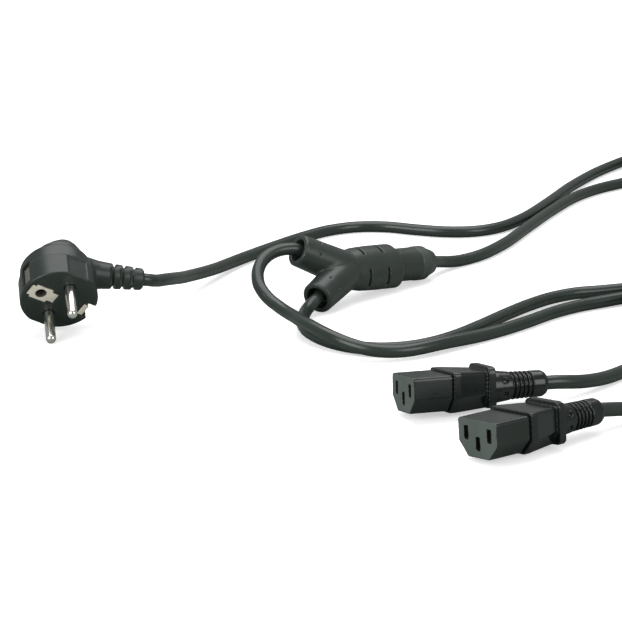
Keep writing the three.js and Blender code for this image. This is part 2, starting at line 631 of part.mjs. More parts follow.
// Stiff insert: the face with its three slots and the core that the grip is moulded on
function connectorInsert() {
  const c = CONNECTOR;
  const [halfX, halfZ] = [c.slotWidth / 2, c.slotHeight / 2];
  const spare = 0.4;
  const tools = [];
  for (const [x, z] of Object.values(SLOTS)) {
    tools.push(box([x - halfX, -BEYOND, z - halfZ], [x + halfX, c.slotDepth + BEYOND, z + halfZ]));
    tools.push(box([x - halfX - spare, c.slotDepth, z - halfZ - spare], [x + halfX + spare, c.pocketTo, z + halfZ + spare]));
    tools.push(rod(c.wireBore, c.pocketTo - BEYOND, c.insertTo + BEYOND, [x, 0, z], [0, 1, 0], 12));
  }
  const face = prism(connectorOutline(0), 0, c.frontLength);
  return cut(join(face, prism(connectorOutline(c.insertInset), c.frontLength - BEYOND, c.insertTo)), ...tools);
}

// Overmoulded grip: band, waist, flange and ribbed strain relief
function connectorBody() {
  const c = CONNECTOR;
  const from = c.frontLength + GAP;
  const bandTo = from + c.bandLength;
  const profile = [[0, c.flangeTo - 2], [7.2, c.flangeTo - 2], [7, 43], [6.4, 48]];
  for (let i = 0; i < c.grooveCount; i += 1) {
    const start = c.grooveFrom + i * c.grooveStep;
    const radius = c.grooveRadius - 0.08 * i;
    const floor = radius - c.grooveDepth;
    profile.push([radius, start], [floor, start], [floor, start + c.grooveWidth], [radius, start + c.grooveWidth]);
  }
  profile.push([c.capRadius, 64.6], [c.capRadius - 0.8, 66.2], [c.capRadius - 2, c.reach], [0, c.reach]);
  const axis = [0, 1, 0];
  const centre = [0, 0, c.axisHeight];
  const grip = join(
    prism(connectorOutline(-c.step), from, bandTo),
    prism(connectorOutline(-c.step), bandTo, c.flangeFrom + BEYOND, { scaleX: c.waistX, scaleZ: c.waistZ }),
    prism(roundedOutline(c.flangeWidth, c.flangeHeight, c.flangeRadius, c.flangeMiddle), c.flangeFrom, c.flangeTo),
    turned(profile, centre, axis, 16),
  );
  const funnel = new THREE.LatheGeometry([[0, 0], [9, 0], [9, 1.6], [CORD_BORE, 5.8], [0, 5.8]].map(([r, h]) =>
    new THREE.Vector2(r, h)), 12);
  funnel.scale(1, 1, 0.75);
  funnel.translate(0, c.insertTo, c.axisHeight);
  const windows = [];
  for (const side of [-1, 1]) {
    for (const height of [c.axisHeight - 3.3, c.axisHeight + 3.3]) {
      windows.push(box([side * 6 - 1.2, c.windowFrom, height - 1.4], [side * 6 + 1.2, c.windowTo, height + 1.4]));
    }
  }
  return cut(
    grip,
    prism(connectorOutline(c.insertInset - GAP), 0, c.insertTo + GAP),
    toSolid(funnel),
    rod(CORD_BORE, c.insertTo + 3, c.reach + BEYOND, centre, axis),
    ...windows,
  );
}

function connectorContact([x, z]) {
  const c = CONNECTOR;
  const [halfX, halfZ] = [c.slotWidth / 2 + 0.1, c.slotHeight / 2 + 0.1];
  const wall = c.contactWall;
  return join(
    cut(
      box([x - halfX, c.contactFrom, z - halfZ], [x + halfX, c.contactTo, z + halfZ]),
      box([x - halfX + wall, 0, z - halfZ + wall], [x + halfX - wall, c.contactTo - BEYOND, z + halfZ - wall]),
    ),
    rod(c.wireBore - GAP, c.contactTo - BEYOND / 2, c.wireFrom, [x, 0, z], [0, 1, 0], 12),
  );
}

function buildConnector(place, letter) {
  const c = CONNECTOR;
  const group = placed(place);
  group.add(toMesh(`connector_${letter}_insert`, connectorInsert(), "insertPlastic"));
  group.add(toMesh(`connector_${letter}_body`, connectorBody(), "connectorPlastic"));
  const ends = { line: [-CORE_SPREAD, 8.7], earth: [0, 7], neutral: [CORE_SPREAD, 8.7] };
  for (const [name, [x, z]] of Object.entries(SLOTS)) {
    group.add(toMesh(`connector_${letter}_contact_${name}`, connectorContact([x, z]), "brass"));
    const [endX, endZ] = ends[name];
    const core = tube([[x, c.wireFrom + GAP, z], [x, c.insertTo - 1.2, z], [x * 0.94, c.insertTo + 0.8, z],
      [endX * 1.2, c.cordFrom - 1.4, endZ], [endX, c.cordFrom - GAP, endZ]], CORE_RADIUS, CORE_SIDES, 6);
    group.add(toMesh(`connector_${letter}_core_${name}`, core, name));
  }
  return group;
}

// One coil, the closed shape that its turns fill, and the band round it
function buildCoil(name, { centre, turnsRadius, bandAngle }) {
  const base = BAND_THICKNESS + GAP;
  const top = base + COIL_LAYERS * 2 * CORD_RADIUS;
  const [inner, outer] = [turnsRadius - 2 * CORD_RADIUS, turnsRadius + 2 * CORD_RADIUS];
  const edge = CORD_RADIUS / 2;
  const section = [[inner, base + edge], [inner + edge, base], [outer - edge, base], [outer, base + edge],
    [outer, top - edge], [outer - edge, top], [inner + edge, top], [inner, top - edge], [inner, base + edge]];
  const start = [centre[0], centre[1], 0];
  const ring = turned(section, start, FORWARD, 36);
  const half = BAND_WIDTH / 2;
  const band = cut(
    box([inner - 2 * GAP - BAND_THICKNESS, -half, 0], [outer + GAP + BAND_THICKNESS, half, top + GAP + BAND_THICKNESS]),
    box([inner - 2 * GAP, -half - BEYOND, BAND_THICKNESS], [outer + GAP, half + BEYOND, top + GAP]),
  );
  const turnedBand = band.rotate([0, 0, bandAngle]).translate(start);
  return [toMesh(`${name}_coil`, ring, "cordSheath"), toMesh(`${name}_tie`, turnedBand, "band")];
}

const plug = buildPlug();
const splitter = buildSplitter();
const connectorA = buildConnector(CONNECTOR_A_PLACE, "a");
const connectorB = buildConnector(CONNECTOR_B_PLACE, "b");

// Straight stretches of cord inside the bores that they are moulded into
const inPlug = worldPoints(plug, [7, 20, 34, 45].map((along) => byPlugCord(along)));
const inTrunk = worldPoints(splitter, [28, 40, 52, 60].map((along) => [along, 0, 0]));
const inArm = (side) => worldPoints(splitter, [12, 20, 28, 32].map((along) => byArm(side, along)));
const inConnector = (group) =>
  worldPoints(group, [33.6, 45, 58, 68].map((along) => [0, along, CONNECTOR.axisHeight]));

const cordRuns = {
  trunk_cord_plug_run: [[...inPlug, ...TRUNK_PLUG_ROUTE], COARSE_STEP],
  trunk_cord_splitter_run: [[...inTrunk, ...TRUNK_SPLITTER_ROUTE], COARSE_STEP],
  branch_a_splitter_run: [[...inArm(1), ...BRANCH_A_SPLITTER_ROUTE], FINE_STEP],
  branch_b_splitter_run: [[...inArm(-1), ...BRANCH_B_SPLITTER_ROUTE], FINE_STEP],
  branch_a_connector_run: [[...inConnector(connectorA), ...BRANCH_A_CONNECTOR_ROUTE], COARSE_STEP],
  branch_b_connector_run: [[...inConnector(connectorB), ...BRANCH_B_CONNECTOR_ROUTE], COARSE_STEP],
};

const splitterLead = new THREE.Group();
splitterLead.name = "power_cord_splitter";
splitterLead.add(plug, splitter, connectorA, connectorB);
for (const [name, [points, step]] of Object.entries(cordRuns)) {
  splitterLead.add(toMesh(name, cordTube(points, step), "cordSheath"));
}
splitterLead.add(...buildCoil("trunk_cord", TRUNK_COIL));
splitterLead.add(...buildCoil("branch_a", BRANCH_A_COIL));
splitterLead.add(...buildCoil("branch_b", BRANCH_B_COIL));

export default splitterLead;
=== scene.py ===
import math
import bpy
import bmesh
from mathutils import Matrix, Vector


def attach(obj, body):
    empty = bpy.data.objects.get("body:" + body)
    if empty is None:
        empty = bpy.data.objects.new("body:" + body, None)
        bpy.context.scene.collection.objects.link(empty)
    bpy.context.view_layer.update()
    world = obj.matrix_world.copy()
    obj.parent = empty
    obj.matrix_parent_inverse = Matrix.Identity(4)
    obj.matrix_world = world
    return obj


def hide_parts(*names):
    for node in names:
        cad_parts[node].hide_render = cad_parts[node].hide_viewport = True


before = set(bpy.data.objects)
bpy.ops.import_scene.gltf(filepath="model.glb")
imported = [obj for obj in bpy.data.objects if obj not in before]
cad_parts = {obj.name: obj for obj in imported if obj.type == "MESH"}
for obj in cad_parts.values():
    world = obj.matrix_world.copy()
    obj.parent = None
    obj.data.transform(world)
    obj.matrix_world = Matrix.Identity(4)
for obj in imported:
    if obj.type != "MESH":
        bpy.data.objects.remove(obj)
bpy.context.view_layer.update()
MM = 0.001
scene = bpy.context.scene


# Inner pieces: the cords' insulated cores, the brass contacts and crimped joints on their ends,
# and the stiff ivory blocks that hold them. They keep their CAD shapes and are moulded over, so
# that only the ends of the contacts can be seen, in the connectors' slots.
def new_group(name, inputs, outputs):
    group = bpy.data.node_groups.new(name, "ShaderNodeTree")
    for label, kind, value in inputs:
        socket = group.interface.new_socket(label, in_out="INPUT", socket_type=kind)
        if value is not None:
            socket.default_value = value
    for label, kind in outputs:
        group.interface.new_socket(label, in_out="OUTPUT", socket_type=kind)
    return group, group.nodes.new("NodeGroupInput"), group.nodes.new("NodeGroupOutput")


def with_values(node, values):
    for socket, value in values.items():
        node.inputs[socket].default_value = value
    return node


# Fine grain and a soft unevenness of colour and shine, which every finish takes at its own scale.
surface, surface_in, surface_out = new_group(
    "moulded_surface",
    [("Colour", "NodeSocketColor", (0.03, 0.035, 0.035, 1)), ("Roughness", "NodeSocketFloat", 0.4),
     ("Grain", "NodeSocketFloat", 1800), ("Depth", "NodeSocketFloat", 0.2)],
    [("Colour", "NodeSocketColor"), ("Roughness", "NodeSocketFloat"), ("Height", "NodeSocketFloat")])
where = surface.nodes.new("ShaderNodeTexCoord")
grain = with_values(surface.nodes.new("ShaderNodeTexNoise"), {"Detail": 4})
uneven = with_values(surface.nodes.new("ShaderNodeTexNoise"), {"Scale": 70, "Detail": 5})
shade = with_values(surface.nodes.new("ShaderNodeMapRange"), {"To Min": 0.7, "To Max": 1.22})
rough = with_values(surface.nodes.new("ShaderNodeMapRange"), {"To Min": -0.08, "To Max": 0.08})
tint = with_values(surface.nodes.new("ShaderNodeMixRGB"), {0: 1})
tint.blend_type = "MULTIPLY"
total = surface.nodes.new("ShaderNodeMath")
deep = surface.nodes.new("ShaderNodeMath")
deep.operation = "MULTIPLY"
for output, socket in (
        (where.outputs["Object"], grain.inputs["Vector"]),
        (where.outputs["Object"], uneven.inputs["Vector"]),
        (surface_in.outputs["Grain"], grain.inputs["Scale"]),
        (uneven.outputs["Fac"], shade.inputs["Value"]),
        (uneven.outputs["Fac"], rough.inputs["Value"]),
        (surface_in.outputs["Colour"], tint.inputs[1]),
        (shade.outputs["Result"], tint.inputs[2]),
        (surface_in.outputs["Roughness"], total.inputs[0]),
        (rough.outputs["Result"], total.inputs[1]),
        (grain.outputs["Fac"], deep.inputs[0]),
        (surface_in.outputs["Depth"], deep.inputs[1]),
        (tint.outputs[0], surface_out.inputs["Colour"]),
        (total.outputs[0], surface_out.inputs["Roughness"]),
        (deep.outputs[0], surface_out.inputs["Height"])):
    surface.links.new(output, socket)


def moulded(name, colour, roughness, grain_scale=1800, depth=0.2, metallic=0.0):
    material = bpy.data.materials.new(name)
    material.use_nodes = True
    nodes, join = material.node_tree.nodes, material.node_tree.links.new
    shader = with_values(nodes["Principled BSDF"], {"Metallic": metallic})
    look = nodes.new("ShaderNodeGroup")
    look.node_tree = surface
    with_values(look, {"Colour": (*colour, 1), "Roughness": roughness, "Grain": grain_scale, "Depth": depth})
    relief = with_values(nodes.new("ShaderNodeBump"), {"Distance": 0.00006, "Strength": 0.6})
    join(look.outputs["Colour"], shader.inputs["Base Color"])
    join(look.outputs["Roughness"], shader.inputs["Roughness"])
    join(look.outputs["Height"], relief.inputs["Height"])
    join(relief.outputs["Normal"], shader.inputs["Normal"])
    return material


ivory_plastic = moulded("ivory_plastic", (0.60, 0.57, 0.48), 0.5)
contact_brass = moulded("contact_brass", (0.70, 0.52, 0.22), 0.25, 2200, 0.3, metallic=1)
core_line = moulded("core_line", (0.16, 0.06, 0.025), 0.45)
core_neutral = moulded("core_neutral", (0.02, 0.09, 0.42), 0.45)
core_earth = moulded("core_earth", (0.30, 0.40, 0.03), 0.45)

# The earth cores are striped, yellow on green.
earth_nodes, earth_join = core_earth.node_tree.nodes, core_earth.node_tree.links.new
stripe_place = earth_nodes.new("ShaderNodeTexCoord")
stripe_wave = with_values(earth_nodes.new("ShaderNodeTexWave"), {"Scale": 160})
stripe_mix = with_values(
    earth_nodes.new("ShaderNodeMixRGB"), {1: (0.03, 0.25, 0.03, 1), 2: (0.75, 0.65, 0.02, 1)})
earth_join(stripe_place.outputs["Object"], stripe_wave.inputs["Vector"])
earth_join(stripe_wave.outputs["Fac"], stripe_mix.inputs[0])
earth_join(stripe_mix.outputs[0], earth_nodes["Principled BSDF"].inputs["Base Color"])

BLOCKS = {"plug_pin_carrier": ivory_plastic, "splitter_block": ivory_plastic}
CORES = {"line": core_line, "neutral": core_neutral, "earth": core_earth}
for node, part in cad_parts.items():
    finish = BLOCKS.get(node)
    if "_core_" in node:
        finish = CORES[node.rsplit("_", 1)[1]]
    elif "_crimp_" in node or node.startswith("connector") and "_contact_" in node:
        finish = contact_brass
    if finish:
        part.data.materials.clear()
        part.data.materials.append(finish)


# Pins: brass turned to shape with a round tip, nickel plated and polished. Their thin tails
# stand in the plug's carrier, which holds them apart, and the line and neutral cores end there.
def frame_from_axes(origin, x_axis, y_axis):
    x = Vector(x_axis).normalized()
    z = x.cross(Vector(y_axis)).normalized()
    y = z.cross(x)
    place = Matrix((x, y, z)).transposed().to_4x4()
    place.translation = origin
    return place


PLUG = frame_from_axes((-110.8, 39, 17.8), (0.578, -0.339, 0.742), (-0.804, -0.392, 0.447))
Z_AXIS = Vector((0, 0, 1))
PLUG_OUT = PLUG.to_3x3() @ Z_AXIS
PIN_LENGTH, PIN_RADIUS, PIN_TO_MIDDLE, PIN_TIP = 19, 2.4, 9.5, 2.3
PIN_SHOULDER, TAIL_END, TAIL_RADIUS, PIN_CHAMFER = -12.4, -15, 1.6, 0.1
TIP_STEPS = 8
nickel = moulded("nickel", (0.90, 0.88, 0.82), 0.20, 2500, 0.1, metallic=1)


def add_piece(name, bm, material, angle=35):
    bmesh.ops.recalc_face_normals(bm, faces=bm.faces)
    mesh = bpy.data.meshes.new(name)
    bm.to_mesh(mesh)
    bm.free()
    for polygon in mesh.polygons:
        polygon.use_smooth = True
    mesh.set_sharp_from_angle(angle=math.radians(angle))
    mesh.materials.append(material)
    piece = bpy.data.objects.new(name, mesh)
    scene.collection.objects.link(piece)
    return piece


pin_profile = [
    (0, TAIL_END), (TAIL_RADIUS - PIN_CHAMFER, TAIL_END), (TAIL_RADIUS, TAIL_END + PIN_CHAMFER),
    (TAIL_RADIUS, PIN_SHOULDER), (PIN_RADIUS - PIN_CHAMFER, PIN_SHOULDER),
    (PIN_RADIUS, PIN_SHOULDER + PIN_CHAMFER), (PIN_RADIUS, PIN_LENGTH - PIN_TIP)]
for step in range(1, TIP_STEPS):
    bend = math.pi / 2 * step / TIP_STEPS
    pin_profile.append((PIN_RADIUS * math.cos(bend), PIN_LENGTH - PIN_TIP + PIN_TIP * math.sin(bend)))
pin_profile.append((0, PIN_LENGTH))
for node, side in (("plug_pin_line", -1), ("plug_pin_neutral", 1)):
    middle = PIN_TO_MIDDLE * side
    bm = bmesh.new()
    points = [bm.verts.new(PLUG @ Vector((middle + r, 0, z)) * MM) for r, z in pin_profile]
    edges = [bm.edges.new(pair) for pair in zip(points, points[1:])]
    bmesh.ops.spin(bm, geom=points + edges, cent=PLUG @ Vector((middle, 0, 0)) * MM, axis=PLUG_OUT,
                   angle=2 * math.pi, steps=48, use_merge=True)
    bmesh.ops.remove_doubles(bm, verts=bm.verts, dist=0.001 * MM)
    pin = add_piece(node + "_turned", bm, nickel)
    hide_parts(node)
    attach(pin, "root")


# Earth plate and clip: nickel plated sheet, punched with the earth hole, folded at the plug's
# rim and pressed into the moulding. Their nickel is painted pale and almost matt, a painted
# reflection standing in for its shine, and the plate's folded sides, which face away from its
# front, are painted darker: painted shade.
pale_nickel = moulded("pale_nickel", (0.86, 0.80, 0.67), 0.40, 2200, 0.3, metallic=0.1)
nickel_painted_shade = moulded("nickel_painted_shade", (0.30, 0.29, 0.25), 0.4, 2200, 0.3, metallic=0.7)


# Brings the flats of a turned surface out to its true round. Its profile is a list of height
# and radius, and only points this near to its flats are moved, all in millimetres.
def make_round(mesh, place, profile, segments, below=0.12, above=0.08):
    to_local = place.inverted()
    flat = math.cos(math.pi / segments)
    for vertex in mesh.vertices:
        local = to_local @ (vertex.co / MM)
        if not profile[0][0] <= local.z <= profile[-1][0]:
            continue
        for (h0, r0), (h1, r1) in zip(profile, profile[1:]):
            if h0 <= local.z <= h1:
                radius = r0 + (r1 - r0) * (local.z - h0) / (h1 - h0)
                break
        reach = math.hypot(local.x, local.y)
        if radius * flat - below < reach < radius + above:
            stretch = radius / reach
            vertex.co = place @ Vector((local.x * stretch, local.y * stretch, local.z)) * MM


def through_modifier(name, mesh, kind, weights=None, **settings):
    carrier = bpy.data.objects.new(name, mesh)
    scene.collection.objects.link(carrier)
    if weights:
        group = carrier.vertex_groups.new(name="where")
        for index, weight in weights.items():
            group.add([index], weight, "REPLACE")
        settings["vertex_group"] = "where"
    modifier = carrier.modifiers.new("change", kind)
    for key, value in settings.items():
        setattr(modifier, key, value)
    depsgraph = bpy.context.evaluated_depsgraph_get()
    changed = bpy.data.meshes.new_from_object(carrier.evaluated_get(depsgraph))
    bpy.data.objects.remove(carrier)
    return changed


# The small radii of a moulding or pressing: the CAD shape in fine even faces, made round
# where it is turned, smoothed, and blended fully within a reach of each of its blends.
def softened(node, material, voxel, rounds, turned=(), blends=(), shape=None, extra=None, pick=None):
    bm = bmesh.new()
    bm.from_mesh(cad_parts[node].data)
    bmesh.ops.remove_doubles(bm, verts=bm.verts, dist=0.001 * MM)
    mesh = bpy.data.meshes.new(node + "_rough")
    bm.to_mesh(mesh)
    bm.free()
    mesh = through_modifier(node, mesh, "REMESH", mode="VOXEL", voxel_size=voxel * MM, use_smooth_shade=True)
    for place, profile, segments in turned:
        make_round(mesh, place, profile, segments)
    if shape:
        shape(mesh)
    mesh = through_modifier(node, mesh, "SMOOTH", factor=0.5, iterations=rounds)
    if blends:
        weights = {}
        for vertex in mesh.vertices:
            near = max(1 - (vertex.co / MM - centre).length / reach for centre, reach in blends)
            if near > 0:
                weights[vertex.index] = min(1.0, near * 2)
        mesh = through_modifier(node, mesh, "SMOOTH", weights, factor=0.5, iterations=70)
    mesh.name = node + "_moulded"
    mesh.materials.clear()
    mesh.materials.append(material)
    if extra:
        mesh.materials.append(extra)
        for polygon in mesh.polygons:
            polygon.material_index = 1 if pick(polygon) else 0
    piece = bpy.data.objects.new(node + "_moulded", mesh)
    scene.collection.objects.link(piece)
    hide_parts(node)
    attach(piece, "root")
    return piece


# The plate's faces that turn away from the plug's front take the darker copy, painted shade; the rest keep
# the pale one, a painted reflection.
softened("plug_earth_contact", pale_nickel, 0.2, 3,
         extra=nickel_painted_shade, pick=lambda polygon: polygon.normal.dot(PLUG_OUT) < 0.5)
softened("plug_earth_clip", pale_nickel, 0.2, 3)


# Plug body: soft PVC moulded over the carrier, the plates and the cord's end, satin round its
# disc and grip, in one with the slotted strain relief that the cord leaves by.
plug_plastic = moulded("plug_plastic", (0.019, 0.028, 0.023), 0.37, 1500, 0.5)
CORD_ANGLE = math.radians(70.3)
PLUG_CORD = Vector((math.cos(CORD_ANGLE), -math.sin(CORD_ANGLE), 0))
PLUG_ACROSS = Vector((math.sin(CORD_ANGLE), math.cos(CORD_ANGLE), 0))
CORD_DEPTH = -20
PEAK_START, PEAK_TOP, PEAK_REACH, PEAK_NARROWING, PEAK_LEAN = 2.5, 11.4, 12.6, 0.3, 2.8


def by_plug_cord(along, across=0.0, up=0.0):
    point = along * PLUG_CORD + across * PLUG_ACROSS
    return Vector((point.x, point.y, up + CORD_DEPTH))


# A frame whose z is an axis of turning, with its x and y as given, all in millimetres.
def turning_place(place, origin, x_axis, y_axis, z_axis):
    turning = Matrix((x_axis, y_axis, z_axis)).transposed().to_4x4()
    turning.translation = origin
    return place @ turning


plug_disc = (PLUG, [(-22.2, 15.8), (-20, 17.3), (-13.2, 17.9), (-12.6, 18.5), (-0.6, 18.5), (0, 17.9)], 36)
plug_tail = (
    turning_place(PLUG, by_plug_cord(0), PLUG_ACROSS, Z_AXIS, PLUG_CORD),
    [(-5.5, 6), (0, 8.6), (8, 9.3), (14, 8.3), (20, 6.9), (27, 6.2), (39, 5.5), (41.6, 5.3), (42.6, 4.3)], 20)
plug_grip = (
    turning_place(PLUG, by_plug_cord(0, 6), PLUG_CORD, PLUG_ACROSS * 0.92, PLUG_ACROSS * 0.18 - Z_AXIS),
    [(0, 12), (3, 11.4), (6.2, 9.6), (8.8, 7.2), (10.6, 4.6), (11.3, 2)], 20)


# The grip narrows to a peak that leans towards the cord.
def peak_of_grip(mesh):
    place = plug_grip[0]
    to_local = place.inverted()
    for vertex in mesh.vertices:
        local = to_local @ (vertex.co / MM)
        if local.z > PEAK_START and math.hypot(local.x, local.y) < PEAK_REACH:
            part = (local.z - PEAK_START) / (PEAK_TOP - PEAK_START)
            narrow = 1 - PEAK_NARROWING * part
            vertex.co = place @ Vector((local.x * narrow + PEAK_LEAN * part, local.y * narrow, local.z)) * MM


softened("plug_body", plug_plastic, 0.38, 5, turned=(plug_disc, plug_grip, plug_tail),
         shape=peak_of_grip, blends=[
             (PLUG @ by_plug_cord(13, 5, 4), 8), (PLUG @ by_plug_cord(12, 2, 8), 8),
             (PLUG @ by_plug_cord(11, 9, -2), 8)])


# Splitter: satin PVC moulded over the inner block and the ends of the three cords, in a Y with a
# slotted trunk, a plain collar with a paler band, and two arms that the branches leave by.
splitter_plastic = moulded("splitter_plastic", (0.031, 0.041, 0.035), 0.35, 1400, 0.8)
splitter_band = moulded("splitter_band", (0.055, 0.072, 0.063), 0.6, 1400, 1.0)
SPLITTER = frame_from_axes((26.1, 104.4, 15.1), (0.719, 0.686, -0.11), (-0.359, 0.503, 0.786))
TO_SPLITTER = SPLITTER.inverted()
ARM_ANGLE = math.radians(25.8)
ARM_SIDES = {"a": 1, "b": -1}
BAND_START, BAND_END = 47, 53


def by_arm(side, along):
    return Vector((-along * math.cos(ARM_ANGLE), side * along * math.sin(ARM_ANGLE), 0))


splitter_trunk = (
    turning_place(SPLITTER, (0, 0, 0), (0, 1, 0), (0, 0, 0.76), (1, 0, 0)),
    [(-8, 7.2), (-2, 10.2), (6, 11.4), (16, 11.7), (30.4, 11.7), (32.2, 10.5), (32.8, 9.2)], 28)
splitter_neck = (
    turning_place(SPLITTER, (0, 0, 0), (0, 1, 0), (0, 0, 1), (1, 0, 0)),
    [(32.8, 8.5), (46.9, 8.5), (47.1, 8.8), (52.9, 8.8), (53.1, 8.2), (59.3, 6.2)], 24)
splitter_arms = [(
    turning_place(SPLITTER, (0, 0, 0), (math.sin(ARM_ANGLE), side * math.cos(ARM_ANGLE), 0), (0, 0, 1),
                  (-math.cos(ARM_ANGLE), side * math.sin(ARM_ANGLE), 0)),
    [(4, 8.8), (6, 8.9), (30, 8), (30.7, 7.4)], 20) for side in ARM_SIDES.values()]
splitter_blends = [
    ((-8, 0, 6), 9), ((-8, 0, -6), 9), ((-14, 0, 0), 8), ((-3, 11, 0), 7), ((-3, -11, 0), 7)]
softened("splitter_body", splitter_plastic, 0.41, 5,
         turned=(splitter_trunk, splitter_neck, *splitter_arms),
         blends=[(SPLITTER @ Vector(centre), reach) for centre, reach in splitter_blends],
         extra=splitter_band,
         pick=lambda polygon: BAND_START < (TO_SPLITTER @ (polygon.center / MM)).x < BAND_END)


# Connectors: a stiff grained insert with three slots, and a glossy grip with a flange and a
# slotted tail, moulded round its sides and over the branch cord's end.
connector_plastic = moulded("connector_plastic", (0.008, 0.012, 0.010), 0.22, 1600, 0.2)
insert_plastic = moulded("insert_plastic", (0.090, 0.112, 0.098), 0.6, 1300, 1.0)
# The insert's sides, every face but its front, are a darker, glossier copy of its plastic: the darker colour
# is painted shade.
insert_sides_painted_shade = moulded("insert_sides_painted_shade", (0.012, 0.018, 0.015), 0.24, 1500, 0.25)
BORE_HEIGHT = 8


def frame_from_angles(origin, lift, roll, turn):
    lift, roll, turn = (math.radians(angle) for angle in (lift, roll, turn))
    tilt = Matrix.Rotation(lift, 4, "X") @ Matrix.Rotation(roll, 4, "Y")
    place = Matrix.Rotation(turn, 4, "Z") @ tilt
    place.translation = origin
    return place


CONNECTORS = {
    "a": frame_from_angles((47.5, -84.3, 3.05), -2.25, -10.05, -69.05),
    "b": frame_from_angles((75.8, -141.1, 2.27), -1.05, -7.39, -52.55),
}
for letter, place in CONNECTORS.items():
    back = place.to_3x3() @ Vector((0, 1, 0))
    tail_place = turning_place(place, (0, 0, BORE_HEIGHT), (1, 0, 0), (0, 0, 1), (0, 1, 0))
    tail = (tail_place, [
        (39, 7.1), (43, 7), (48, 6.4), (49.5, 6.2), (64.6, 5.8), (66.2, 5), (67, 3.8)], 16)
    grooves = (tail_place, [(49.5, 5.1), (60, 4.8)], 16)
    # All but the insert's front face take the darker copy: painted shade.
    softened(f"connector_{letter}_insert", insert_plastic, 0.3, 6,
             extra=insert_sides_painted_shade, pick=lambda polygon: polygon.normal.dot(back) > -0.8)
    softened(f"connector_{letter}_body", connector_plastic, 0.35, 5,
             turned=(tail, grooves))


# Cords: round leads in a satin PVC sheath. Each is one length, out of a bore, over the table,
# through its coil, where a soft band is pulled tight round the turns, and into the next bore.
# The middles of the runs repeat the CAD's routes.
cord_sheath = moulded("cord_sheath", (0.026, 0.037, 0.031), 0.27, 900, 0.35)
tie_rubber = moulded("tie_rubber", (0.012, 0.012, 0.012), 0.7, 1200, 0.6)
CORD_RADIUS = 3.1
CORD_SIDES = 20
LOWER_TURNS, UPPER_TURNS = 4.2, 10.4
TURN_STEP = 15
TIE_SECTION = ((0.15, -3.4), (0.7, -3.5), (0.95, -3.2), (0.95, 3.2), (0.7, 3.5), (0.15, 3.4))
TIE_STEPS = 64
TURNS_FROM, TURNS_TO = 20, 50
TRUNK_PLUG_ROUTE = [
    (-66.9, 73.2, 18.2), (-62.9, 81.2, 16.6), (-59.4, 91.2, 14.4), (-55.9, 102.7, 11.8), (-51.6, 116.2, 9.3),
    (-46.2, 129.9, 7.2), (-40.6, 143.9, 5.4), (-34.9, 157.5, 4.2), (-29, 169.7, 3.5), (-22.9, 180.2, 3.2),
    (-10.6, 198.1, 3.2), (4.3, 218.1, 3.2), (18.5, 232.9, 3.2), (34, 240.6, 3.2), (49.5, 240.5, 3.2),
    (65.8, 234.1, 3.2), (82, 229.5, 3.2), (97.4, 230.5, 3.2), (111.2, 238.9, 3.2), (126, 259.1, 3.2),
    (142.6, 294.2, 3.2), (160.7, 336.9, 3.2), (178.8, 372.9, 3.2), (189.6, 390.2, 3.3)]
TRUNK_SPLITTER_ROUTE = [
    (75, 155.8, 5.8), (80.5, 162.4, 4.1), (86.2, 168, 3.2), (97.3, 179, 3.2), (111.8, 203.3, 3.2),
    (127.8, 240.4, 3.2), (144.7, 279, 3.2), (161.7, 312.5, 3.2), (178, 333.9, 3.2), (194.6, 347.2, 3.8),
    (213.6, 357.7, 6.4), (234.4, 368, 9.8)]
BRANCH_A_SPLITTER_ROUTE = [
    (-3.9, 89.6, 29.8), (-7.9, 87.3, 29.6), (-11.9, 84, 28.6), (-15.6, 79.5, 26.2), (-17.7, 73.1, 22.3),
    (-17, 66.6, 18), (-14.4, 61.7, 14.9), (-11.6, 58.4, 12.7), (-7.6, 53.6, 10.9), (-3.6, 47.4, 9.8),
    (0.5, 39.9, 9.5), (4.3, 30.4, 9.7), (8.6, 22.5, 9.8), (14.2, 14.2, 9.1), (19.6, 8.4, 8.2),
    (25.1, 4.3, 7.1), (30.6, 1.6, 6.1), (36.1, 0.1, 5.3), (41.6, -0.2, 4.8), (47.1, 0.6, 4.5),
    (52.7, 2.5, 4.4), (58.3, 5.4, 4.5), (69.8, 13.9, 4.5), (87.5, 29.7, 3.3), (99.6, 40.5, 3.2),
    (112.1, 53.7, 3.2), (125, 68.6, 3.2), (137.8, 80.1, 3.2), (150.5, 88.3, 3.2)]
BRANCH_B_SPLITTER_ROUTE = [
    (7.6, 74.1, 5.3), (5.5, 69, 3.8), (4, 54.6, 3.2), (5.4, 42.3, 3.2), (8.6, 32.8, 3.2),
    (14.2, 23.5, 3.2), (19.7, 17.4, 3.2), (25.2, 13.2, 3.2), (30.8, 10.5, 3.2), (36.3, 9, 3.2),
    (41.8, 8.6, 3.2), (53, 11.1, 3.2), (64.4, 18, 3.2), (76.2, 29.7, 3.2), (88.6, 46.1, 3.2),
    (101.4, 64.6, 3.2), (114.5, 82.1, 3.2), (127.5, 95.9, 3.2), (140.3, 104.3, 3.2), (152.7, 108, 3.2),
    (178.6, 116.3, 3.2), (205.6, 121, 3.2), (234.6, 118, 3.2), (259.1, 108.6, 3.4)]
BRANCH_A_CONNECTOR_ROUTE = [
    (115.6, -56.6, 7.9), (121.1, -53.6, 7), (127.1, -49.3, 5.8), (133.6, -43.1, 4.6), (140.6, -35.3, 3.6),
    (151.6, -21.8, 3.2), (165.6, -4.3, 3.9), (180.6, 12.7, 6.2), (198.5, 30, 9.8)]
BRANCH_B_CONNECTOR_ROUTE = [
    (133.1, -95.9, 8.3), (138.6, -91.7, 7.1), (146.6, -85.1, 5.1), (155.6, -76.8, 3.5), (172.6, -59.3, 3.2),
    (197.6, -36.3, 3.2), (227.6, -14.8, 3.8), (252.6, 1.2, 6.2), (281.9, 18.6, 9.8)]


